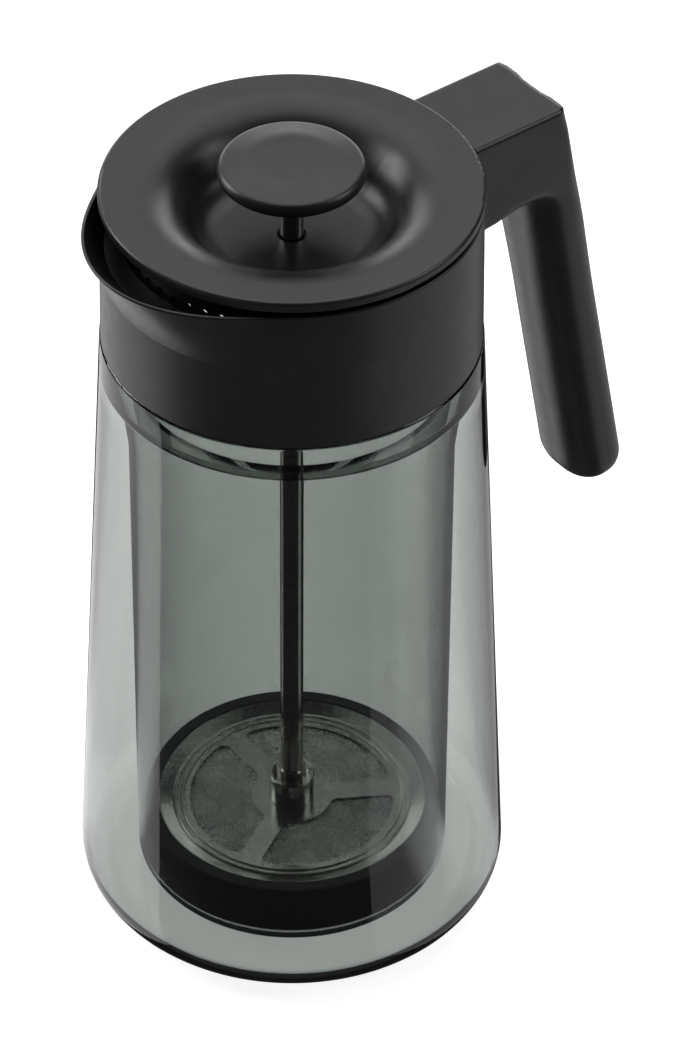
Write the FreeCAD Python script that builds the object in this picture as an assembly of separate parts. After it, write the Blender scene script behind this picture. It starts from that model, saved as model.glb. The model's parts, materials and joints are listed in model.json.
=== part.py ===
# A one-litre coffee press: a double-walled glass jug with a moulded collar, spout and handle, a lid with a
# pouring strainer, and a plunger with a knob, a steel rod and a filter pack.
# Millimetres, +Z up. The origin is the centre of the base. The handle is along +X, the spout along -X.
import FreeCAD, Part
import os
from math import atan, cos, degrees, hypot, radians, sin, tan

# Jug
BASE_R = 60.0               # outer glass, wall line carried down to the base
SHOULDER_R = 50.58          # outer glass, top of the wall
SHOULDER_Z = 189.0
BASE_CORNER_R = 10.0
GLASS_WALL = 1.6
GLASS_BASE = 2.4
NECK_R = 46.6
NECK_TOP_Z = 219.0
BREW_R = 42.0               # bore of the inner glass
BREW_WALL = 1.5
BREW_FLOOR_Z = 7.2
BREW_CORNER_R = 3.2
WELD_Z = 178.8              # underside of the flare where it joins the outer glass
FLARE_DROP = 2.9            # height that the flare falls on its way in to the inner glass

# Collar
COLLAR_Z0 = 189.35
COLLAR_Z1 = 230.97
COLLAR_R0 = 50.3
COLLAR_R1 = 49.7
COLLAR_BORE_R = 47.2
MOUTH_R = 48.6              # bore at the very top, where it flares out to a thin lip
LEDGE_R = 45.0
LEDGE_Z0 = 220.6
LEDGE_Z1 = 222.4
SPOUT_Z0 = 213.0            # where the spout starts to swell out of the collar
SPOUT_REACH = 9.8
SPOUT_HALF_ANGLE = 55.0
SPOUT_FLARE = 1.5

# Handle
ARM_Z0 = 204.2
ARM_Z1 = 232.8
ARM_HALF_WIDTH = 14.2
GRIP_HALF_WIDTH = 13.0
GRIP_TILT = 0.1917          # outward travel per unit of drop
GRIP_INNER_X = 73.0         # inner face of the grip, at GRIP_REF_Z
GRIP_OUTER_X = 86.07        # outer corner line of the arm and grip, at GRIP_REF_Z
GRIP_REF_Z = 204.8
GRIP_SWELL = 4.7            # how far the back of the grip swells past the corner line
GRIP_END_Z = 88.5
SCREW_Z = (211.0, 225.5)

# Lid
LID_R = 50.0
LID_Z1 = 235.46
LID_EDGE = 2.86
LID_WALL = 2.2
BOWL_TOP_R = 31.0
BOWL_FLOOR_R = 24.5
BOWL_FLOOR_Z = 220.0
RIM_R = 46.9
WINDOW_HALF_ANGLE = 42.0
STRAINER_R = 44.0
STRAINER_Z0 = 207.0
STRAINER_Z1 = 229.0
STRAINER_HOLE_PITCH = 6.4
STRAINER_HOLE_Z = 223.7
LID_SCREW_R = 38.8
LID_SCREW_ANGLES = (0.0, 120.0, 240.0)

# Plunger
ROD_R = 3.2
STUD_R = 2.45
FILTER_Z = 23.0             # top of the spoked plate
PLATE_R = 37.8
SPOKE_ANGLES = (-31.4, 88.6, 208.6)
SPOKE_WIDTH = 6.2
SEAL_R = 41.7
SEAL_Z0 = 9.63
SEAL_Z1 = 25.05
HUB_R = 6.45
HUB_Z1 = 31.5
ROD_TOP_Z = 231.0
KNOB_R = 19.6
KNOB_TOP_Z = 243.9

ORIGIN = FreeCAD.Vector(0, 0, 0)
AXIS_X = FreeCAD.Vector(1, 0, 0)
AXIS_Y = FreeCAD.Vector(0, 1, 0)
AXIS_Z = FreeCAD.Vector(0, 0, 1)


def rounded_wire(corners):
    """Closed wire in the XZ plane through (x, z) or (x, z, fillet radius) corners."""
    count = len(corners)
    entries = []
    exits = []
    arcs = []
    for i, corner in enumerate(corners):
        here = FreeCAD.Vector(corner[0], 0, corner[1])
        if len(corner) < 3:
            entries.append(here)
            exits.append(here)
            arcs.append(None)
            continue
        before = corners[i - 1]
        after = corners[(i + 1) % count]
        back = (FreeCAD.Vector(before[0], 0, before[1]) - here).normalize()
        ahead = (FreeCAD.Vector(after[0], 0, after[1]) - here).normalize()
        half = back.getAngle(ahead) / 2
        reach = corner[2] / tan(half)
        bisector = (back + ahead).normalize()
        start = here + back * reach
        end = here + ahead * reach
        middle = here + bisector * (corner[2] / sin(half) - corner[2])
        entries.append(start)
        exits.append(end)
        arcs.append(Part.Arc(start, middle, end).toShape())
    edges = []
    for i in range(count):
        if arcs[i]:
            edges.append(arcs[i])
        following = entries[(i + 1) % count]
        if (following - exits[i]).Length > 1e-6:
            edges.append(Part.LineSegment(exits[i], following).toShape())
    return Part.Wire(edges)


def lathe(corners):
    """Solid of revolution about Z."""
    return Part.Face(rounded_wire(corners)).revolve(ORIGIN, AXIS_Z, 360)


def tube(outer_r, inner_r, z0, z1):
    return lathe([(inner_r, z0), (outer_r, z0), (outer_r, z1), (inner_r, z1)])


def cylinder(radius, start, direction, length):
    return Part.makeCylinder(radius, length, start, direction)


def turned(shape, angle):
    """Copy of a shape turned about Z by degrees."""
    copy = shape.copy()
    copy.rotate(ORIGIN, AXIS_Z, angle)
    return copy


def glass_wall_r(z, inset=0.0):
    """Radius of the outer glass's sloping wall at a height."""
    return BASE_R + (SHOULDER_R - BASE_R) * z / SHOULDER_Z - inset


# ---------------------------------------------------------------- jug

def outer_glass():
    neck_bore = NECK_R - GLASS_WALL
    return lathe([
        (0, 0), (BASE_R, 0, BASE_CORNER_R), (SHOULDER_R, SHOULDER_Z, 1.0),
        (NECK_R, 190.8, 1.0), (NECK_R, NECK_TOP_Z, 0.7), (neck_bore, NECK_TOP_Z, 0.7),
        (neck_bore, 189.4, 1.5), (glass_wall_r(187.6, GLASS_WALL), 187.6, 1.5),
        (glass_wall_r(GLASS_BASE, GLASS_WALL), GLASS_BASE, BASE_CORNER_R - GLASS_WALL), (0, GLASS_BASE),
    ])


def inner_glass():
    brew_outer_r = BREW_R + BREW_WALL
    flare_top_z = WELD_Z + GLASS_WALL
    return lathe([
        (0, BREW_FLOOR_Z - BREW_WALL), (brew_outer_r, BREW_FLOOR_Z - BREW_WALL, BREW_CORNER_R + BREW_WALL),
        (brew_outer_r, WELD_Z - FLARE_DROP, 1.5), (glass_wall_r(WELD_Z, GLASS_WALL), WELD_Z),
        (glass_wall_r(flare_top_z, GLASS_WALL), flare_top_z), (BREW_R, flare_top_z - FLARE_DROP, 2.0),
        (BREW_R, BREW_FLOOR_Z, BREW_CORNER_R), (0, BREW_FLOOR_Z),
    ])


def collar_section(z, radius, reach):
    """Closed outline at a height: a circle that swells smoothly into the spout about -X."""
    points = []
    for step in range(120):
        angle = 3.0 * step
        off_axis = abs(angle - 180.0)
        swell = 0.0
        if off_axis < SPOUT_HALF_ANGLE:
            swell = cos(radians(90.0 * off_axis / SPOUT_HALF_ANGLE)) ** 2
        r = radius + reach * swell
        points.append(FreeCAD.Vector(r * cos(radians(angle)), r * sin(radians(angle)), z))
    curve = Part.BSplineCurve()
    curve.interpolate(Points=points, PeriodicFlag=True)
    return Part.Wire([curve.toShape()])


def collar_r(z):
    return COLLAR_R0 + (COLLAR_R1 - COLLAR_R0) * (z - COLLAR_Z0) / (COLLAR_Z1 - COLLAR_Z0)


def spout_reach(z, full_reach):
    """The spout's swelling at a height, nothing at its root and full at the collar's top."""
    return full_reach * ((z - SPOUT_Z0) / (COLLAR_Z1 - SPOUT_Z0)) ** SPOUT_FLARE


def mouth_r(z):
    """Radius of the collar's bore above its ledge."""
    return COLLAR_BORE_R + (MOUTH_R - COLLAR_BORE_R) * (z - LEDGE_Z1) / (COLLAR_Z1 - LEDGE_Z1)


def collar():
    lower = Part.makeLoft([collar_section(z, collar_r(z), 0.0) for z in (COLLAR_Z0, SPOUT_Z0)], True, True)
    heights = [SPOUT_Z0 + (COLLAR_Z1 - SPOUT_Z0) * i / 6.0 for i in range(7)]
    upper = Part.makeLoft([collar_section(z, collar_r(z), spout_reach(z, SPOUT_REACH)) for z in heights], True)
    body = lower.fuse(upper).removeSplitter()
    top_edges = [edge for edge in body.Edges if edge.BoundBox.ZMin > COLLAR_Z1 - 0.01]
    body = body.makeFillet(0.5, top_edges)
    bore = lathe([
        (0, COLLAR_Z0 - 1.0), (50.0, COLLAR_Z0 - 1.0), (50.0, COLLAR_Z0), (COLLAR_BORE_R, 190.95),
        (COLLAR_BORE_R, LEDGE_Z0), (LEDGE_R, LEDGE_Z0), (LEDGE_R, LEDGE_Z1), (0, LEDGE_Z1),
    ])
    mouth_heights = [LEDGE_Z1 + (COLLAR_Z1 + 0.5 - LEDGE_Z1) * i / 4.0 for i in range(5)]
    mouth = Part.makeLoft([collar_section(z, mouth_r(z), spout_reach(z, SPOUT_REACH)) for z in mouth_heights], True)
    body = body.cut(bore).cut(mouth)
    for z in SCREW_Z:
        body = body.cut(screw(z, 0.05))
    return body


def collar_seal():
    """Silicone ring between the rim of the glass neck and the collar's ledge."""
    return tube(NECK_R - 0.2, NECK_R - GLASS_WALL + 0.1, NECK_TOP_Z, LEDGE_Z0)


def neck_sleeve():
    """Silicone sleeve that bonds the collar to the glass neck."""
    return tube(COLLAR_BORE_R, NECK_R, 194.0, 216.0)


def screw(z, grow=0.0):
    """Countersunk screw that holds the handle, driven outward from inside the collar."""
    profile = rounded_wire([
        (0, 47.35 - 2 * grow), (3.7 + grow, 47.35 - 2 * grow), (3.7 + grow, 47.7),
        (1.95 + grow, 49.4), (1.95 + grow, 60.0), (0, 60.0),
    ])
    solid = Part.Face(profile).revolve(ORIGIN, AXIS_Z, 360)
    solid.rotate(ORIGIN, AXIS_Y, 90)
    solid.translate(FreeCAD.Vector(0, 0, z))
    return solid


def handle_screws():
    recess = [cylinder(1.2, FreeCAD.Vector(47.0, 0, z), AXIS_X, 1.6) for z in SCREW_Z]
    return Part.Compound([screw(z).cut(cut) for z, cut in zip(SCREW_Z, recess)])


def handle_inserts():
    """Brass threaded inserts moulded into the arm."""
    parts = []
    for z in SCREW_Z:
        body = cylinder(3.1, FreeCAD.Vector(51.2, 0, z), AXIS_X, 9.4)
        parts.append(body.cut(cylinder(2.0, FreeCAD.Vector(50.0, 0, z), AXIS_X, 10.1)))
    return Part.Compound(parts)


# The handle is lofted through sections that each run from an inner point to an outer point of its side view.

FILLET_R = 6.0              # between the arm's underside and the grip's inner face
GRIP_SLANT = hypot(1.0, GRIP_TILT)
FAN_Z = ARM_Z0 - FILLET_R
FAN_X = GRIP_INNER_X + GRIP_TILT * (GRIP_REF_Z - FAN_Z) - FILLET_R * GRIP_SLANT


def smooth_step(t):
    t = min(max(t, 0.0), 1.0)
    return t * t * (3.0 - 2.0 * t)


def handle_back_x(z):
    """The handle's back in side view at a height."""
    corner = GRIP_OUTER_X + GRIP_TILT * (GRIP_REF_Z - z)
    return corner + GRIP_SWELL * smooth_step((ARM_Z1 - z) / 42.0)


def reach_from(x, z, dx, dz):
    """Distance from a point inside the handle to its top or back, along a direction."""
    low, high = 0.0, 60.0
    for _ in range(50):
        middle = (low + high) / 2
        inside = z + middle * dz < ARM_Z1 and x + middle * dx < handle_back_x(z + middle * dz)
        low, high = (middle, high) if inside else (low, middle)
    return low


def handle_section(x, z, dx, dz, length, half_width, inner_r, outer_r):
    """Rounded rectangle that spans (x, z) to (x, z) + length along (dx, dz), and the width along Y."""
    flat = rounded_wire([
        (0, -half_width, inner_r), (length, -half_width, outer_r),
        (length, half_width, outer_r), (0, half_width, inner_r),
    ])
    frame = FreeCAD.Matrix(dx, 0, 0, x, 0, 0, 1, 0, dz, 1, 0, z, 0, 0, 0, 1)
    return flat.transformGeometry(frame)


def handle():
    """Arm and grip in one moulding, with the inserts' pockets and a mating face that wraps the collar."""
    sections = [handle_section(47.0, ARM_Z0, 0, 1, ARM_Z1 - ARM_Z0, ARM_HALF_WIDTH, 2.0, 1.5)]
    lean = degrees(atan(GRIP_TILT))
    fan_steps = 16
    for step in range(fan_steps + 1):
        swing = step / fan_steps
        angle = 90.0 + (lean - 90.0) * swing
        dx, dz = cos(radians(angle)), sin(radians(angle))
        x, z = FAN_X + FILLET_R * dx, FAN_Z + FILLET_R * dz
        blend = smooth_step(swing)
        sections.append(handle_section(x, z, dx, dz, reach_from(x, z, dx, dz), ARM_HALF_WIDTH - 0.5 * blend,
                                       2.0 + 5.2 * blend, 1.5 + 5.9 * blend))
    dx, dz = 1.0 / GRIP_SLANT, GRIP_TILT / GRIP_SLANT
    start_x, start_z = FAN_X + FILLET_R * dx, FAN_Z + FILLET_R * dz
    grip_length = (start_z - GRIP_END_Z - 8.0 * dz) / dx
    for drop in (6.0, 12.0, 20.0, 30.0, 42.0, grip_length):
        x, z = start_x + drop * dz, start_z - drop * dx
        width = ARM_HALF_WIDTH - 0.5 - 0.7 * smooth_step(drop / 42.0)
        sections.append(handle_section(x, z, dx, dz, reach_from(x, z, dx, dz), width, 7.2, 7.4))
    body = Part.makeLoft(sections, True, True)
    end_edges = [edge for edge in body.Edges if edge.BoundBox.ZMax < GRIP_END_Z + 6.0]
    body = body.makeFillet(4.5, end_edges)
    seat = lathe([
        (0, COLLAR_Z0), (COLLAR_R0, COLLAR_Z0), (COLLAR_R1, COLLAR_Z1), (LID_R + 0.35, COLLAR_Z1),
        (LID_R + 0.35, ARM_Z1 + 5.0), (0, ARM_Z1 + 5.0),
    ])
    body = body.cut(seat)
    for z in SCREW_Z:
        body = body.cut(cylinder(3.1, FreeCAD.Vector(45.0, 0, z), AXIS_X, 15.6))
    return body


# ---------------------------------------------------------------- lid

def lid_seal():
    """Silicone gasket on the strainer that wipes the glass neck."""
    return tube(44.7, STRAINER_R + 0.05, 210.1, 214.5)


def lid_cover():
    """Dished cover with a locating rim, cut away at the pouring side, and bosses for the strainer's screws."""
    top = LID_Z1
    body = lathe([
        (3.6, BOWL_FLOOR_Z, 0.4), (BOWL_FLOOR_R, BOWL_FLOOR_Z, 8.5), (BOWL_TOP_R, top, 16.0), (LID_R, top, 1.0),
        (LID_R, top - LID_EDGE, 0.5), (RIM_R, top - LID_EDGE), (RIM_R, LEDGE_Z1 + 0.1, 0.4),
        (RIM_R - 1.5, LEDGE_Z1 + 0.1, 0.4), (RIM_R - 1.5, top - LID_WALL, 0.6),
        (BOWL_TOP_R + 1.4, top - LID_WALL, 13.6), (BOWL_FLOOR_R + 1.5, BOWL_FLOOR_Z - LID_WALL, 10.4),
        (7.5, BOWL_FLOOR_Z - LID_WALL), (7.5, 211.0, 0.5), (5.0, 211.0), (5.0, 217.6), (3.6, 217.6),
    ])
    window = Part.makeCylinder(RIM_R + 1.0, LID_Z1 - LID_EDGE - LEDGE_Z1 + 1.0,
                               FreeCAD.Vector(0, 0, LEDGE_Z1 - 1.0), AXIS_Z, 2 * WINDOW_HALF_ANGLE)
    window = window.cut(cylinder(RIM_R - 2.5, FreeCAD.Vector(0, 0, LEDGE_Z1 - 2.0), AXIS_Z, 14.0))
    body = body.cut(turned(window, 180.0 - WINDOW_HALF_ANGLE))
    for angle in LID_SCREW_ANGLES:
        boss = cylinder(2.9, FreeCAD.Vector(LID_SCREW_R, 0, STRAINER_Z1), AXIS_Z, top - LID_WALL + 0.6 - STRAINER_Z1)
        hole = cylinder(1.45, FreeCAD.Vector(LID_SCREW_R, 0, STRAINER_Z1 - 1.0), AXIS_Z, 5.4)
        body = body.fuse(turned(boss, angle)).cut(turned(hole, angle))
    return body


def strainer():
    """Skirt that hangs from the cover into the glass neck, with a row of pouring holes at the spout side."""
    wall = STRAINER_R - 1.3
    flange_r = LID_SCREW_R - 3.2
    body = lathe([
        (wall, STRAINER_Z0, 0.5), (STRAINER_R, STRAINER_Z0, 0.5), (STRAINER_R, 209.1), (44.4, 209.1, 0.2),
        (44.4, 210.0, 0.2), (STRAINER_R, 210.0), (STRAINER_R, 214.6), (44.4, 214.6, 0.2), (44.4, 215.5, 0.2),
        (STRAINER_R, 215.5), (STRAINER_R, STRAINER_Z1, 0.5), (flange_r, STRAINER_Z1, 0.5),
        (flange_r, STRAINER_Z1 - 1.6, 0.5), (wall, STRAINER_Z1 - 1.6, 1.0),
    ])
    for step in range(-5, 7):
        hole = cylinder(0.95, FreeCAD.Vector(wall - 3.0, 0, STRAINER_HOLE_Z), AXIS_X, 6.0)
        body = body.cut(turned(hole, 180.0 + (step - 0.5) * STRAINER_HOLE_PITCH))
    for angle in LID_SCREW_ANGLES:
        hole = cylinder(1.6, FreeCAD.Vector(LID_SCREW_R, 0, STRAINER_Z1 - 3.0), AXIS_Z, 4.0)
        body = body.cut(turned(hole, angle))
    return body


def rod_bushing():
    """Flanged steel bushing that guides the rod under the bowl of the cover."""
    return lathe([
        (ROD_R + 0.05, 209.6), (7.3, 209.6, 0.3), (7.3, 211.0), (5.0, 211.0), (5.0, 217.6), (ROD_R + 0.05, 217.6),
    ])


def lid_screws():
    screws = []
    for angle in LID_SCREW_ANGLES:
        seat_z = STRAINER_Z1 - 1.6
        body = cylinder(1.45, FreeCAD.Vector(LID_SCREW_R, 0, seat_z - 0.5), AXIS_Z, 5.5)
        body = body.fuse(cylinder(2.4, FreeCAD.Vector(LID_SCREW_R, 0, seat_z - 1.8), AXIS_Z, 1.8))
        body = body.cut(cylinder(1.1, FreeCAD.Vector(LID_SCREW_R, 0, seat_z - 1.9), AXIS_Z, 1.1))
        screws.append(turned(body, angle))
    return Part.Compound(screws)


# ---------------------------------------------------------------- plunger

def knob():
    crown = Part.Face(rounded_wire([
        (0, ROD_TOP_Z), (5.8, ROD_TOP_Z, 0.6), (5.8, 236.2, 1.5), (14.8, 236.4, 5.0), (KNOB_R + 0.3, 239.8, 2.0),
        (KNOB_R - 1.1, 242.5, 1.8), (KNOB_R * 0.55, 243.75, 30.0), (0, KNOB_TOP_Z),
    ])).revolve(ORIGIN, AXIS_Z, 360)
    return crown.cut(cylinder(4.2, FreeCAD.Vector(0, 0, 230.0), AXIS_Z, 9.5))


def knob_insert():
    return tube(4.2, STUD_R + 0.05, ROD_TOP_Z, 239.5)


def rod():
    """Steel rod with a threaded stud at each end and a groove just above the hub."""
    groove = ROD_R - 0.35
    return lathe([
        (0, 12.9), (STUD_R, 12.9, 0.4), (STUD_R, FILTER_Z), (ROD_R, FILTER_Z), (ROD_R, 33.2), (groove, 33.5),
        (groove, 34.1), (ROD_R, 34.4), (ROD_R, ROD_TOP_Z), (STUD_R, ROD_TOP_Z), (STUD_R, 238.9, 0.4), (0, 238.9),
    ])


def hub():
    """Turned hub that clamps the filter pack to the rod, hollow at the top."""
    return lathe([
        (ROD_R, FILTER_Z), (HUB_R, FILTER_Z, 0.4), (HUB_R, HUB_Z1, 0.4), (5.5, HUB_Z1, 0.3),
        (5.5, 28.4), (ROD_R, 28.4),
    ])


def spoked_plate():
    """Pressed steel plate with three spokes, two raised beads and a sloping lip."""
    under = FILTER_Z - 0.8
    body = lathe([
        (STUD_R + 0.15, under), (33.4, under, 2.0), (PLATE_R, 24.2), (PLATE_R, 25.0, 0.3), (33.4, FILTER_Z, 2.0),
        (33.35, 23.0), (33.1, 23.45, 0.3), (32.6, 23.45, 0.3), (32.3, FILTER_Z), (31.6, FILTER_Z),
        (31.3, 23.5, 0.3), (30.7, 23.5, 0.3), (30.4, FILTER_Z), (STUD_R + 0.15, FILTER_Z),
    ])
    openings = cylinder(28.9, FreeCAD.Vector(0, 0, under - 1.0), AXIS_Z, 4.0)
    openings = openings.cut(cylinder(11.4, FreeCAD.Vector(0, 0, under - 2.0), AXIS_Z, 6.0))
    for angle in SPOKE_ANGLES:
        spoke = Part.makeBox(40.0, SPOKE_WIDTH, 6.0, FreeCAD.Vector(0, -SPOKE_WIDTH / 2, under - 2.0))
        openings = openings.cut(turned(spoke, angle))
    upright = [e for e in openings.Edges if e.BoundBox.XLength < 1e-3 and e.BoundBox.YLength < 1e-3]
    return body.cut(openings.makeFillet(2.2, upright))


def mesh_screen():
    """Woven filter screen, as a plain disc of its thickness."""
    return tube(34.2, STUD_R + 0.15, FILTER_Z - 1.4, FILTER_Z - 0.8)


def support_plate():
    """Perforated plate that backs the screen."""
    body = tube(34.2, STUD_R + 0.15, FILTER_Z - 2.4, FILTER_Z - 1.4)
    for radius, count, hole_r in ((14.0, 6, 3.2), (25.5, 12, 4.2)):
        for step in range(count):
            hole = cylinder(hole_r, FreeCAD.Vector(radius, 0, FILTER_Z - 4.0), AXIS_Z, 4.0)
            body = body.cut(turned(hole, step * 360.0 / count))
    return body


def seal_ring():
    """Silicone piston ring around the filter pack."""
    return lathe([
        (38.4, SEAL_Z0, 0.6), (SEAL_R, SEAL_Z0, 0.9), (SEAL_R, SEAL_Z1, 0.8), (PLATE_R + 0.05, SEAL_Z1),
        (PLATE_R + 0.05, 24.17), (34.4, 22.6), (34.4, 18.6, 0.8), (38.4, 16.8, 1.0),
    ])


def filter_nut():
    """Winged nut under the filter pack, with a flange that spreads its load."""
    flange_z = FILTER_Z - 2.4
    body = tube(11.5, STUD_R + 0.05, flange_z - 1.4, flange_z)
    body = body.fuse(tube(5.4, STUD_R + 0.05, 12.4, flange_z - 1.0))
    for angle in (0.0, 90.0):
        wing = Part.makeBox(19.0, 2.2, 5.6, FreeCAD.Vector(-9.5, -1.1, 13.8))
        wing = wing.cut(cylinder(4.0, FreeCAD.Vector(0, 0, 10.0), AXIS_Z, 12.0))
        body = body.fuse(turned(wing, angle))
    return body.removeSplitter()


NODES = {
    "outer_glass": outer_glass, "inner_glass": inner_glass, "collar": collar, "collar_seal": collar_seal,
    "neck_sleeve": neck_sleeve, "handle": handle, "handle_screws": handle_screws,
    "handle_inserts": handle_inserts, "lid_seal": lid_seal, "lid_cover": lid_cover, "strainer": strainer,
    "rod_bushing": rod_bushing, "lid_screws": lid_screws, "knob": knob, "knob_insert": knob_insert,
    "rod": rod, "hub": hub, "spoked_plate": spoked_plate, "mesh_screen": mesh_screen,
    "support_plate": support_plate, "seal_ring": seal_ring, "filter_nut": filter_nut,
}


def main():
    os.makedirs("parts", exist_ok=True)
    for name, make in NODES.items():
        shape = make()
        print(name, len(shape.Solids), shape.isValid(), round(shape.Volume, 1))
        shape.exportStep("parts/" + name + ".step")


main()
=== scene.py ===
import json
from math import atan, atan2, cos, hypot, pi, radians, sin, tan

import bpy
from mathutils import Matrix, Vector


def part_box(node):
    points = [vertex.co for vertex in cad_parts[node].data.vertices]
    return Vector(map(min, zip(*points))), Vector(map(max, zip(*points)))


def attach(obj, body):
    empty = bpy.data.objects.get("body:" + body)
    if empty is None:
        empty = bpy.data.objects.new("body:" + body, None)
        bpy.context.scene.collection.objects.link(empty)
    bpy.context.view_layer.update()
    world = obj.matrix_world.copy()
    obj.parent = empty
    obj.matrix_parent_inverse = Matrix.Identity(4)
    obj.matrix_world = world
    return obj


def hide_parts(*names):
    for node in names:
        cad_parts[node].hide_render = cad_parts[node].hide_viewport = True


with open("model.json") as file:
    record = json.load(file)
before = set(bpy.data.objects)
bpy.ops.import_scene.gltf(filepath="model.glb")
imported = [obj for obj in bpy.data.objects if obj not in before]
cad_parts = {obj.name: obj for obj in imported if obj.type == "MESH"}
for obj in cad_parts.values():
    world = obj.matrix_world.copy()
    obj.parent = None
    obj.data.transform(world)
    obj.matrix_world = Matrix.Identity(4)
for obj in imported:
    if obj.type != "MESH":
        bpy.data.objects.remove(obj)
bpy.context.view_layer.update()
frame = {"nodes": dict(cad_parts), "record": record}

MM = 0.001
ARC_STEP = 8.0      # degrees between the points of a fillet
LATHE_STEPS = 192
LONGEST_RUN = 6.0   # straight runs of a turned profile are divided to this length
NODES = frame["nodes"]


# ------------------------------------------------------------------ meshes

def add_piece(name, verts, faces, body, slot, replaced):
    """A mesh object from points in millimetres, riding on a CAD body."""
    mesh = bpy.data.meshes.new(name)
    mesh.from_pydata([tuple(c * MM for c in v) for v in verts], [], faces)
    mesh.validate()
    mesh.update()
    for polygon in mesh.polygons:
        polygon.use_smooth = True
    piece = bpy.data.objects.new(name, mesh)
    bpy.context.scene.collection.objects.link(piece)
    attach(piece, body)
    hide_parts(*replaced)
    dress(piece, slot)


def rounded_profile(corners):
    """Points along (r, z) or (r, z, fillet radius) corners, with each fillet drawn as a tangent arc."""
    points = []
    count = len(corners)
    for i, corner in enumerate(corners):
        here = Vector(corner[:2])
        if len(corner) < 3:
            points.append(here)
            continue
        back = (Vector(corners[i - 1][:2]) - here).normalized()
        ahead = (Vector(corners[(i + 1) % count][:2]) - here).normalized()
        half = back.angle(ahead) / 2
        centre = here + (back + ahead).normalized() * (corner[2] / sin(half))
        start = here + back * (corner[2] / tan(half)) - centre
        end = here + ahead * (corner[2] / tan(half)) - centre
        turn = atan2(start.x * end.y - start.y * end.x, start.dot(end))
        steps = max(2, int(abs(turn) / radians(ARC_STEP)) + 1)
        for k in range(steps + 1):
            a = turn * k / steps
            turned = Vector((start.x * cos(a) - start.y * sin(a), start.x * sin(a) + start.y * cos(a)))
            points.append(centre + turned)
    return points


def subdivided(points):
    """The same outline with no straight run longer than LONGEST_RUN."""
    result = [points[0]]
    for before, after in zip(points, points[1:]):
        pieces = max(1, int((after - before).length / LONGEST_RUN + 0.999))
        for k in range(1, pieces + 1):
            result.append(before.lerp(after, k / pieces))
    return result


def lathe_mesh(profiles):
    """Points and faces of open profiles turned about Z; a profile may start or end on the axis."""
    verts = []
    faces = []
    for profile in profiles:
        rings = []
        for p in profile:
            if p.x < 1e-6:
                rings.append([len(verts)])
                verts.append((0.0, 0.0, p.y))
                continue
            rings.append(list(range(len(verts), len(verts) + LATHE_STEPS)))
            verts += [(p.x * cos(2 * pi * k / LATHE_STEPS), p.x * sin(2 * pi * k / LATHE_STEPS), p.y)
                      for k in range(LATHE_STEPS)]
        for low, high in zip(rings, rings[1:]):
            for k in range(LATHE_STEPS):
                n = (k + 1) % LATHE_STEPS
                face = [low[k % len(low)], low[n % len(low)], high[n % len(high)], high[k % len(high)]]
                faces.append(list(dict.fromkeys(face)))
    return verts, faces


# ------------------------------------------------------------------ materials

class Shader:
    """A material's node tree with short calls to add and join nodes."""

    def __init__(self, name):
        self.material = bpy.data.materials.new(name)
        self.material.use_nodes = True
        self.tree = self.material.node_tree
        self.main = self.tree.nodes["Principled BSDF"]
        self.output = self.tree.nodes["Material Output"]
        self.place = self.add("ShaderNodeTexCoord").outputs["Object"]

    def add(self, kind, **settings):
        node = self.tree.nodes.new(kind)
        for key, value in settings.items():
            setattr(node, key, value)
        return node

    def join(self, source, target):
        self.tree.links.new(source, target)

    def stretched(self, scale):
        mapping = self.add("ShaderNodeMapping")
        mapping.inputs["Scale"].default_value = scale
        self.join(self.place, mapping.inputs["Vector"])
        return mapping.outputs["Vector"]

    def noise(self, scale, detail=3.0, place=None):
        node = self.add("ShaderNodeTexNoise")
        node.inputs["Scale"].default_value = scale
        node.inputs["Detail"].default_value = detail
        self.join(place or self.place, node.inputs["Vector"])
        return node.outputs["Fac"]

    def spread(self, value, low, high):
        """A 0..1 texture value, most of which lies near a half, mapped to low..high."""
        node = self.add("ShaderNodeMapRange")
        node.inputs["From Min"].default_value = 0.3
        node.inputs["From Max"].default_value = 0.7
        node.inputs["To Min"].default_value = low
        node.inputs["To Max"].default_value = high
        self.join(value, node.inputs["Value"])
        return node.outputs["Result"]

    def colours(self, value, painted_reflection, light):
        ramp = self.add("ShaderNodeValToRGB")
        ramp.color_ramp.elements[0].position = 0.3
        ramp.color_ramp.elements[1].position = 0.7
        ramp.color_ramp.elements[0].color = (*painted_reflection, 1.0)
        ramp.color_ramp.elements[1].color = (*light, 1.0)
        self.join(value, ramp.inputs["Fac"])
        self.join(ramp.outputs["Color"], self.main.inputs["Base Color"])

    def bump(self, height, strength, distance):
        node = self.add("ShaderNodeBump")
        node.inputs["Strength"].default_value = strength
        node.inputs["Distance"].default_value = distance
        self.join(height, node.inputs["Height"])
        self.join(node.outputs["Normal"], self.main.inputs["Normal"])

    def roughness(self, value, low, high):
        self.join(self.spread(value, low, high), self.main.inputs["Roughness"])


def black_plastic():
    s = Shader("satin_black_plastic")
    s.colours(s.noise(60.0), (0.0085, 0.0088, 0.0092), (0.0115, 0.0118, 0.0123))
    s.roughness(s.noise(240.0, 4.0), 0.33, 0.39)
    s.main.inputs["Specular IOR Level"].default_value = 0.5
    s.bump(s.noise(2600.0, 2.0), 0.06, 0.00005)
    return s.material


def black_silicone():
    s = Shader("black_silicone")
    s.colours(s.noise(90.0), (0.0060, 0.0067, 0.0063), (0.0090, 0.0099, 0.0093))
    s.roughness(s.noise(400.0), 0.46, 0.58)
    s.main.inputs["Specular IOR Level"].default_value = 0.35
    s.bump(s.noise(1800.0, 2.0), 0.08, 0.00005)
    return s.material


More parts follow.
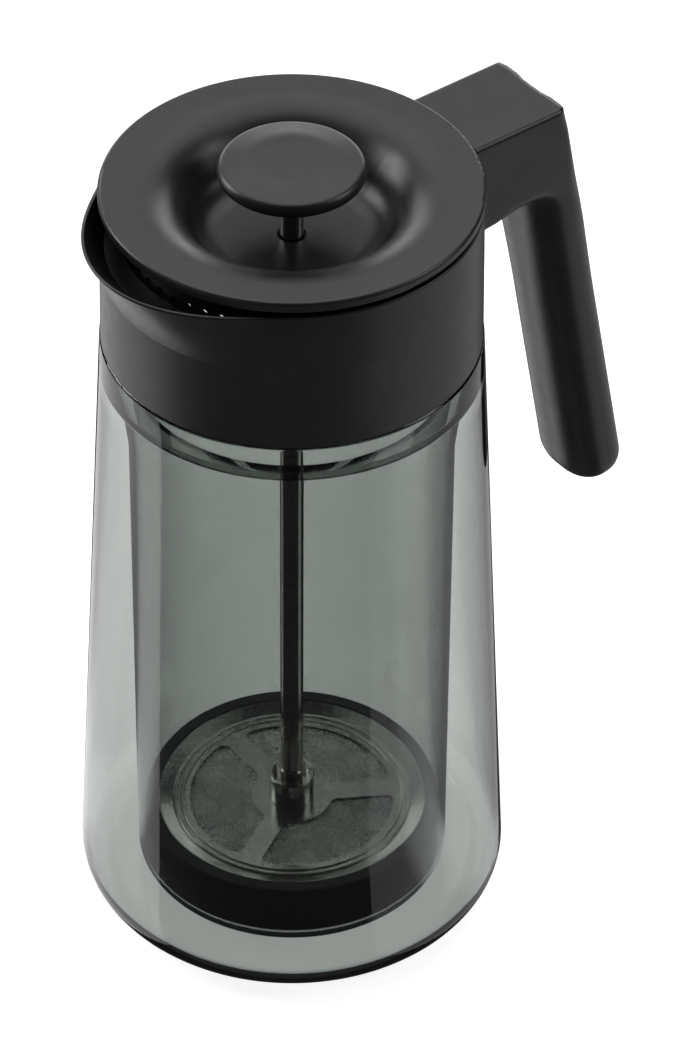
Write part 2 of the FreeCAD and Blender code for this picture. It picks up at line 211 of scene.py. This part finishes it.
def steel(name, tint, rough_low, rough_high, brush):
    """Stainless steel with a fine brushed or turned grain."""
    s = Shader(name)
    s.main.inputs["Metallic"].default_value = 1.0
    grain = s.noise(1.0, 2.0, s.stretched(brush))
    light = tuple(min(1.0, c * 1.06) for c in tint)
    s.colours(grain, tint, light)
    s.roughness(grain, rough_low, rough_high)
    s.bump(grain, 0.05, 0.00002)
    return s.material


def brass():
    s = Shader("turned_brass")
    s.main.inputs["Metallic"].default_value = 1.0
    grain = s.noise(1.0, 2.0, s.stretched((60.0, 60.0, 2500.0)))
    s.colours(grain, (0.74, 0.52, 0.24), (0.82, 0.60, 0.29))
    s.roughness(grain, 0.24, 0.34)
    return s.material


def smoked_glass():
    """Clear grey glass that absorbs by thickness, slightly wavy, and lets lamps light what is behind it."""
    s = Shader("smoked_glass")
    s.main.inputs["Base Color"].default_value = (1.0, 1.0, 1.0, 1.0)
    s.main.inputs["Transmission Weight"].default_value = 1.0
    s.main.inputs["IOR"].default_value = 1.47
    s.main.inputs["Roughness"].default_value = 0.0
    s.bump(s.noise(14.0, 1.0), 0.08, 0.001)
    clear = s.add("ShaderNodeBsdfTransparent")
    path = s.add("ShaderNodeLightPath")
    mix = s.add("ShaderNodeMixShader")
    s.join(path.outputs["Is Shadow Ray"], mix.inputs["Fac"])
    s.join(s.main.outputs["BSDF"], mix.inputs[1])
    s.join(clear.outputs["BSDF"], mix.inputs[2])
    s.join(mix.outputs["Shader"], s.output.inputs["Surface"])
    smoke = s.add("ShaderNodeVolumeAbsorption")
    smoke.inputs["Color"].default_value = (0.02, 0.09, 0.04, 1.0)
    smoke.inputs["Density"].default_value = 225.0
    s.join(smoke.outputs["Volume"], s.output.inputs["Volume"])
    return s.material


VIEW_AZIMUTH = -37.36               # degrees from the front, -Y, towards the handle at +X
PAINTED_HIGHLIGHT_TURNS = (-112.0, 84.0)    # degrees to the right of the camera's side, where the floor paints highlight sectors for reflected rays


def floor_paper_painted_reflection():
    """White paper with an even glow; what is reflected off the press sees a painted reflection instead: dark,
    with two painted highlight sectors at its sides.
    """
    s = Shader("floor_paper_painted_reflection")
    s.colours(s.noise(30.0), (0.58, 0.58, 0.58), (0.60, 0.60, 0.60))
    s.roughness(s.noise(200.0), 0.75, 0.85)
    s.main.inputs["Specular IOR Level"].default_value = 0.1
    s.main.inputs["Emission Color"].default_value = (1.0, 1.0, 1.0, 1.0)
    s.main.inputs["Emission Strength"].default_value = 0.84
    # Painted reflection: the emission that reflected rays see in place of the paper, dark except for two painted
    # highlight sectors.
    painted_reflection = s.add("ShaderNodeEmission")
    painted_reflection.inputs["Color"].default_value = (1.0, 1.0, 1.0, 1.0)
    spot = s.add("ShaderNodeSeparateXYZ")
    s.join(s.place, spot.inputs["Vector"])
    bearing = s.add("ShaderNodeMath", operation="ARCTAN2")
    s.join(spot.outputs["Y"], bearing.inputs[0])
    s.join(spot.outputs["X"], bearing.inputs[1])
    nearest = None
    for turn in PAINTED_HIGHLIGHT_TURNS:
        offset = s.add("ShaderNodeMath", operation="SUBTRACT")
        offset.inputs[1].default_value = radians(VIEW_AZIMUTH - 90.0 + turn)
        s.join(bearing.outputs["Value"], offset.inputs[0])
        facing = s.add("ShaderNodeMath", operation="COSINE")
        s.join(offset.outputs["Value"], facing.inputs[0])
        if nearest:
            larger = s.add("ShaderNodeMath", operation="MAXIMUM")
            s.join(nearest, larger.inputs[0])
            s.join(facing.outputs["Value"], larger.inputs[1])
            facing = larger
        nearest = facing.outputs["Value"]
    # Painted highlight: the emission rises from dark to bright inside each sector.
    painted_highlight = s.add("ShaderNodeMapRange", interpolation_type="SMOOTHSTEP")
    painted_highlight.inputs["From Min"].default_value = 0.93
    painted_highlight.inputs["From Max"].default_value = 1.0
    painted_highlight.inputs["To Min"].default_value = 0.04
    painted_highlight.inputs["To Max"].default_value = 1.1
    s.join(nearest, painted_highlight.inputs["Value"])
    s.join(painted_highlight.outputs["Result"], painted_reflection.inputs["Strength"])
    # Rays that have been reflected at least once see the painted reflection, not the paper.
    path = s.add("ShaderNodeLightPath")
    seen = s.add("ShaderNodeMath", operation="GREATER_THAN")
    seen.inputs[1].default_value = 0.5
    s.join(path.outputs["Glossy Depth"], seen.inputs[0])
    mix = s.add("ShaderNodeMixShader")
    s.join(seen.outputs["Value"], mix.inputs["Fac"])
    s.join(s.main.outputs["BSDF"], mix.inputs[1])
    s.join(painted_reflection.outputs["Emission"], mix.inputs[2])
    s.join(mix.outputs["Shader"], s.output.inputs["Surface"])
    return s.material


MATERIALS = {
    "smoked_glass": smoked_glass(),
    "black_plastic": black_plastic(),
    "black_silicone": black_silicone(),
    "turned_steel": steel("turned_steel", (0.50, 0.49, 0.47), 0.13, 0.20, (90.0, 90.0, 3000.0)),
    "pressed_steel": steel("pressed_steel", (0.52, 0.52, 0.50), 0.16, 0.24, (500.0, 500.0, 500.0)),
    "woven_steel": steel("woven_steel", (0.46, 0.46, 0.44), 0.22, 0.32, (900.0, 900.0, 900.0)),
    "brass": brass(),
}


def dress(piece, slot):
    piece.data.materials.clear()
    piece.data.materials.append(MATERIALS[slot])


# ------------------------------------------------------------------ glass

BASE_R = 60.0               # outer wall carried down to the base
SHOULDER_R = 50.58
SHOULDER_Z = 189.0
GLASS_WALL = 1.6
GLASS_BASE = 2.4
NECK_R = 46.6
NECK_TOP_Z = 219.0
BREW_R = 42.0               # bore of the inner wall
BREW_WALL = 1.5
BREW_FLOOR_Z = 7.2
WELD_Z = 178.8              # underside of the flare where it joins the outer wall
FLARE_DROP = 2.9            # height that the flare falls on its way in
FUSED_R = 47.6              # inside of the thick ring where the two walls are fused


def wall_r(z, inset):
    """Radius of the sloping outer wall at a height, less an inset."""
    return BASE_R + (SHOULDER_R - BASE_R) * z / SHOULDER_Z - inset


def jug_glass():
    """Both walls as one fused vessel: the skin that the air touches, and the sealed space between the walls."""
    bore = NECK_R - GLASS_WALL
    flare_z = WELD_Z + GLASS_WALL
    skin = rounded_profile([
        (0, 0), (BASE_R, 0, 10.0), (SHOULDER_R, SHOULDER_Z, 1.0), (NECK_R, 190.8, 1.0), (NECK_R, NECK_TOP_Z, 0.7),
        (bore, NECK_TOP_Z, 0.7), (bore, 189.4, 1.5), (FUSED_R, 187.6, 1.5),
        (FUSED_R, flare_z - FLARE_DROP * 0.25, 0.4), (BREW_R, flare_z - FLARE_DROP, 0.4),
        (BREW_R, BREW_FLOOR_Z, 3.2), (0, BREW_FLOOR_Z),
    ])
    outer_r = BREW_R + BREW_WALL
    cavity = rounded_profile([
        (0, GLASS_BASE), (wall_r(GLASS_BASE, GLASS_WALL), GLASS_BASE, 8.4),
        (wall_r(WELD_Z, GLASS_WALL), WELD_Z, 0.3), (outer_r, WELD_Z - FLARE_DROP, 0.4),
        (outer_r, BREW_FLOOR_Z - BREW_WALL, 4.7), (0, BREW_FLOOR_Z - BREW_WALL),
    ])
    cavity.reverse()
    verts, faces = lathe_mesh([subdivided(skin), subdivided(cavity)])
    add_piece("jug_glass", verts, faces, "jug", "smoked_glass", ("outer_glass", "inner_glass"))


# ------------------------------------------------------------------ handle

ARM_Z0 = 204.2
ARM_Z1 = 232.8
ARM_HALF_WIDTH = 14.2
SEAT_R = 50.35              # the arm's end that faces the lid and collar
SEAT_SINK = 0.8             # how much deeper that end sits below the collar's top
COLLAR_TOP_Z = 230.9
SEAT_POCKET = 3.0           # depth of the hidden recess in that end
GRIP_HALF_WIDTH = 13.0
GRIP_TILT = 0.1917          # outward travel per unit of drop
GRIP_INNER_X = 73.0         # inner face, at GRIP_REF_Z
GRIP_OUTER_X = 86.07        # outer corner line, at GRIP_REF_Z
GRIP_REF_Z = 204.8
GRIP_SWELL = 3.8            # how far the back swells past the corner line
ROUNDING_DROP = 46.0        # drop over which the box turns into the oval
BACK_LEAN = 0.009
TOP_EDGE_R = 1.6
GRIP_END_Z = 88.7
GRIP_CAP = 9.0              # length of the rounded lower end
END_CORNER_R = 3.8
END_HOLLOW = 1.4            # depth of the hollow in the arm's end face
EDGE_R = 1.5                # least corner radius of a section
FILLET_R = 6.0
FAN_STEPS = 44
GRIP_STEPS = 32
CAP_STEPS = 11
GRIP_SLANT = hypot(1.0, GRIP_TILT)
FAN_Z = ARM_Z0 - FILLET_R
FAN_X = GRIP_INNER_X + GRIP_TILT * (GRIP_REF_Z - FAN_Z) - FILLET_R * GRIP_SLANT


def smooth_step(t):
    t = min(max(t, 0.0), 1.0)
    return t * t * (3.0 - 2.0 * t)


def rounding(z):
    """How far the cross-section has changed, 0 to 1, from the arm's box to the grip's oval at a height."""
    return smooth_step((ARM_Z1 - z) / ROUNDING_DROP)


def corner_radii(z):
    """Radii of the back corners in plan, along X and along Y."""
    return END_CORNER_R + 4.2 * rounding(z), END_CORNER_R + 7.2 * rounding(z)


def handle_back_x(z):
    """The back in side view; it swells as its corners round off, so that the outline stays straight."""
    corner = GRIP_OUTER_X + GRIP_TILT * (GRIP_REF_Z - z)
    return corner + GRIP_SWELL * rounding(z) + BACK_LEAN * (ARM_Z1 - z)


def reach_from(x, z, dx, dz):
    """Distance from a point inside the handle to its top or back, along a direction."""
    low, high = 0.0, 60.0
    for _ in range(40):
        middle = (low + high) / 2
        px, pz = x + middle * dx, z + middle * dz
        back = handle_back_x(pz)
        inside = pz < ARM_Z1 and px < back
        over_x, over_z = px - back + TOP_EDGE_R, pz - ARM_Z1 + TOP_EDGE_R
        if over_x > 0 and over_z > 0:
            inside = hypot(over_x, over_z) < TOP_EDGE_R
        low, high = (middle, high) if inside else (low, middle)
    return low


def end_face_x(y, z):
    """The arm's end face: shallow hollow in the middle, rounded corners, fading out down the grip."""
    flat = ARM_HALF_WIDTH - END_CORNER_R
    over = min(max(abs(y) - flat, 0.0), END_CORNER_R)
    inset = END_CORNER_R - (END_CORNER_R ** 2 - over ** 2) ** 0.5
    if abs(y) < flat:
        inset += END_HOLLOW * cos(pi / 2 * y / flat) ** 2
    return handle_back_x(z) - inset * smooth_step((z - ARM_Z1 + 26.0) / 24.0)


def section_outline(length, half_width, inner, outer):
    """Closed outline (p, n) of a cross-section; inner and outer are corner radii along p and n."""
    outline = []
    corners = [(0.0, -half_width, inner, pi, 1.5 * pi), (length, -half_width, outer, 1.5 * pi, 2 * pi),
               (length, half_width, outer, 0.0, 0.5 * pi), (0.0, half_width, inner, 0.5 * pi, pi)]
    steps = 10
    for p0, n0, (rp, rn), start, end in corners:
        centre_p = p0 + (rp if p0 == 0.0 else -rp)
        centre_n = n0 + (rn if n0 < 0 else -rn)
        arc = [(centre_p + rp * cos(start + (end - start) * k / steps),
                centre_n + rn * sin(start + (end - start) * k / steps)) for k in range(steps + 1)]
        if outline:
            outline += between(outline[-1], arc[0])
        outline += arc
    return outline + between(outline[-1], outline[0])


def between(start, end):
    """Evenly spaced points on a straight run, without its ends."""
    count = 14
    return [(start[0] + (end[0] - start[0]) * k / count, start[1] + (end[1] - start[1]) * k / count)
            for k in range(1, count)]


def handle():
    """Arm and grip as one skin, lofted through sections that fan round the inner corner."""
    rings = []

    def add_ring(x, z, dx, dz, length, half_width, inner, outer, shrink=1.0):
        middle = length / 2
        ring = []
        for p, n in section_outline(length, half_width, inner, outer):
            p = middle + (p - middle) * shrink
            here_z = z + p * dz
            ring.append((min(x + p * dx, end_face_x(n, here_z)), n * shrink, here_z))
        rings.append(ring)

    for x in (50.0, 51.5, 54.0, 57.0, 60.0, 63.0, 66.0):
        soften = smooth_step((x - 54.0) / 13.0)
        add_ring(x, ARM_Z0, 0, 1, ARM_Z1 - ARM_Z0, ARM_HALF_WIDTH, (2.0 + 3.0 * soften, 2.0 + 4.0 * soften),
                 (EDGE_R, EDGE_R))
    rings[0] = [((SEAT_R ** 2 - y * y) ** 0.5 - (SEAT_SINK if z < COLLAR_TOP_Z else 0.0), y, z)
                for _, y, z in rings[0]]
    rings[1] = [(x - 1.6 * (y / ARM_HALF_WIDTH) ** 2, y, z) for x, y, z in rings[1]]
    lean = atan(GRIP_TILT)
    for step in range(FAN_STEPS + 1):
        swing = step / FAN_STEPS
        angle = pi / 2 + (lean - pi / 2) * swing
        dx, dz = cos(angle), sin(angle)
        x, z = FAN_X + FILLET_R * dx, FAN_Z + FILLET_R * dz
        length = reach_from(x, z, dx, dz)
        inner = smooth_step(swing)
        out_z = z + length * dz
        edge = smooth_step((ARM_Z1 - 0.5 - out_z) / 6.0)
        outer_x, outer_y = corner_radii(out_z)
        add_ring(x, z, dx, dz, length, ARM_HALF_WIDTH - 0.4 * inner, (5.0 + 3.0 * inner, 6.0 + 4.0 * inner),
                 (EDGE_R + (outer_x - EDGE_R) * edge, EDGE_R + (outer_y - EDGE_R) * edge))
    dx, dz = cos(lean), sin(lean)
    x0, z0 = FAN_X + FILLET_R * dx, FAN_Z + FILLET_R * dz
    length = (z0 - GRIP_END_Z - 8.9 * dz) / dx - GRIP_CAP
    for step in range(1, GRIP_STEPS + 1):
        drop = length * step / GRIP_STEPS
        x, z = x0 + drop * dz, z0 - drop * dx
        settle = smooth_step(drop / 40.0)
        reach = reach_from(x, z, dx, dz)
        width = GRIP_HALF_WIDTH + 0.8 - 0.8 * settle
        add_ring(x, z, dx, dz, reach, width, (8.0, 10.0 + settle), corner_radii(z + reach * dz))
    for step in range(1, CAP_STEPS):
        a = pi / 2 * step / CAP_STEPS
        drop = length + GRIP_CAP * sin(a)
        x, z = x0 + drop * dz, z0 - drop * dx
        add_ring(x, z, dx, dz, reach_from(x, z, dx, dz), GRIP_HALF_WIDTH, (8.0, 11.0), (8.0, 11.0), cos(a) ** 0.8)
    middle_z = (ARM_Z0 + ARM_Z1) / 2
    rings.insert(0, [(x + SEAT_POCKET, 0.96 * y, middle_z + 0.96 * (z - middle_z)) for x, y, z in rings[0]])
    size = len(rings[0])
    verts = [p for ring in rings for p in ring]
    faces = []
    for r in range(len(rings) - 1):
        for k in range(size):
            n = (k + 1) % size
            faces.append((r * size + k, r * size + n, (r + 1) * size + n, (r + 1) * size + k))
    faces.append(tuple(range(size)))
    faces.append(tuple(reversed(range(len(verts) - size, len(verts)))))
    add_piece("handle_shell", verts, faces, "jug", "black_plastic", ("handle",))


# ------------------------------------------------------------------ filter screen

PITCH = 0.72                # between neighbouring wires
WIRE_R = 0.24
WEAVE = 0.3                 # rise and fall of a wire, as a share of its radius
HOLE_R = 2.7                # round the rod


def wire_cloth():
    """Plain-weave wire cloth: each wire passes over and under the ones that cross it."""
    low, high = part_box("mesh_screen")
    radius = high.x / MM
    middle_z = (low.z + high.z) / 2 / MM
    count = int(radius / PITCH)
    verts = []
    faces = []
    for across in (False, True):
        for i in range(-count, count + 1):
            offset = i * PITCH
            half = (radius ** 2 - offset ** 2) ** 0.5
            steps = int(half / PITCH)
            runs = [[]]
            for j in range(-steps, steps + 1):
                along = j * PITCH
                if hypot(along, offset) < HOLE_R:
                    runs.append([])
                    continue
                lift = WIRE_R * (WEAVE if (i + j + across) % 2 else -WEAVE)
                runs[-1].append((along, offset, middle_z + lift))
            for run in runs:
                if len(run) < 2:
                    continue
                rings = []
                for x, y, z in run:
                    rings.append(list(range(len(verts), len(verts) + 4)))
                    for side, up in ((WIRE_R, 0.0), (0.0, WIRE_R), (-WIRE_R, 0.0), (0.0, -WIRE_R)):
                        verts.append((y - side, x, z + up) if across else (x, y + side, z + up))
                faces.append(rings[0][::-1])
                faces.append(rings[-1])
                for start, ring in zip(rings, rings[1:]):
                    for k in range(4):
                        faces.append((start[k], start[(k + 1) % 4], ring[(k + 1) % 4], ring[k]))
    add_piece("wire_cloth", verts, faces, "plunger", "woven_steel", ("mesh_screen",))


# ------------------------------------------------------------------ stage, lights and camera

def from_view(turn, distance, height):
    """A place at degrees right of the camera's side of the object, in metres."""
    a = radians(VIEW_AZIMUTH + turn)
    return Vector((distance * sin(a), -distance * cos(a), height))


def softbox(name, turn, distance, height, width, depth, radiance):
    """A rectangular lamp that faces the press; its brightness is the same whatever its size."""
    lamp = bpy.data.lights.new(name, "AREA")
    lamp.shape = "RECTANGLE"
    lamp.size = width
    lamp.size_y = depth
    lamp.energy = radiance * pi * width * depth
    holder = bpy.data.objects.new(name, lamp)
    holder.location = from_view(turn, distance, height)
    aim = Vector((0, 0, 0.16)) - holder.location
    holder.rotation_euler = aim.to_track_quat("-Z", "Y").to_euler()
    bpy.context.scene.collection.objects.link(holder)


def stage_sheet(name, corners, material):
    """A flat four-cornered sheet that isn't part of the object."""
    mesh = bpy.data.meshes.new(name)
    mesh.from_pydata(corners, [], [(0, 1, 2, 3)])
    sheet = bpy.data.objects.new(name, mesh)
    bpy.context.scene.collection.objects.link(sheet)
    mesh.materials.append(material)
    return sheet


FLOOR_HALF = 12.0
FLOOR_Z = -0.0002           # just below the base


def studio():
    """A white floor that shows reflected rays a painted reflection, a dim world and six soft lamps, two of them
    below the floor, which reflections pass.
    """
    corners = [(x * FLOOR_HALF, y * FLOOR_HALF, FLOOR_Z) for x, y in ((-1, -1), (1, -1), (1, 1), (-1, 1))]
    floor = stage_sheet("floor", corners, floor_paper_painted_reflection())
    floor.visible_glossy = False
    floor.visible_shadow = False
    world = bpy.data.worlds.new("studio")
    world.use_nodes = True
    world.node_tree.nodes["Background"].inputs["Color"].default_value = (1.0, 1.0, 1.0, 1.0)
    world.node_tree.nodes["Background"].inputs["Strength"].default_value = 0.04
    bpy.context.scene.world = world
    softbox("overhead", 180, 0.55, 1.35, 1.6, 1.3, 1.7)
    softbox("back_box", 180, 1.4, 0.42, 2.0, 0.6, 2.6)
    softbox("left_box", -110, 1.3, 0.75, 0.6, 1.0, 5.5)
    softbox("right_box", 85, 1.2, 0.95, 0.5, 0.8, 3.2)
    softbox("left_glow", -119, 0.8, -0.5, 1.3, 0.8, 1.0)
    softbox("right_glow", 102, 0.8, -0.5, 2.0, 0.8, 0.45)


def camera():
    """The viewing angle: 40 degrees down, from 37 degrees to the spout side of the handle's normal."""
    azimuth = radians(VIEW_AZIMUTH)
    pitch = radians(40.173)
    distance = 1.0806
    data = bpy.data.cameras.new("camera")
    data.lens = 179.15
    data.sensor_width = 36.0
    data.shift_x = 0.0554
    holder = bpy.data.objects.new("camera", data)
    holder.location = (distance * sin(azimuth), -distance * cos(azimuth), 1.03366)
    holder.rotation_euler = (pi / 2 - pitch, 0.0, azimuth)
    bpy.context.scene.collection.objects.link(holder)
    bpy.context.scene.camera = holder


# ------------------------------------------------------------------ the object

for part in frame["record"]["subparts"]:
    dress(NODES[part["node"]], part["material_slot"])
jug_glass()
handle()
wire_cloth()
studio()
camera()
bpy.context.scene.view_settings.view_transform = "Standard"
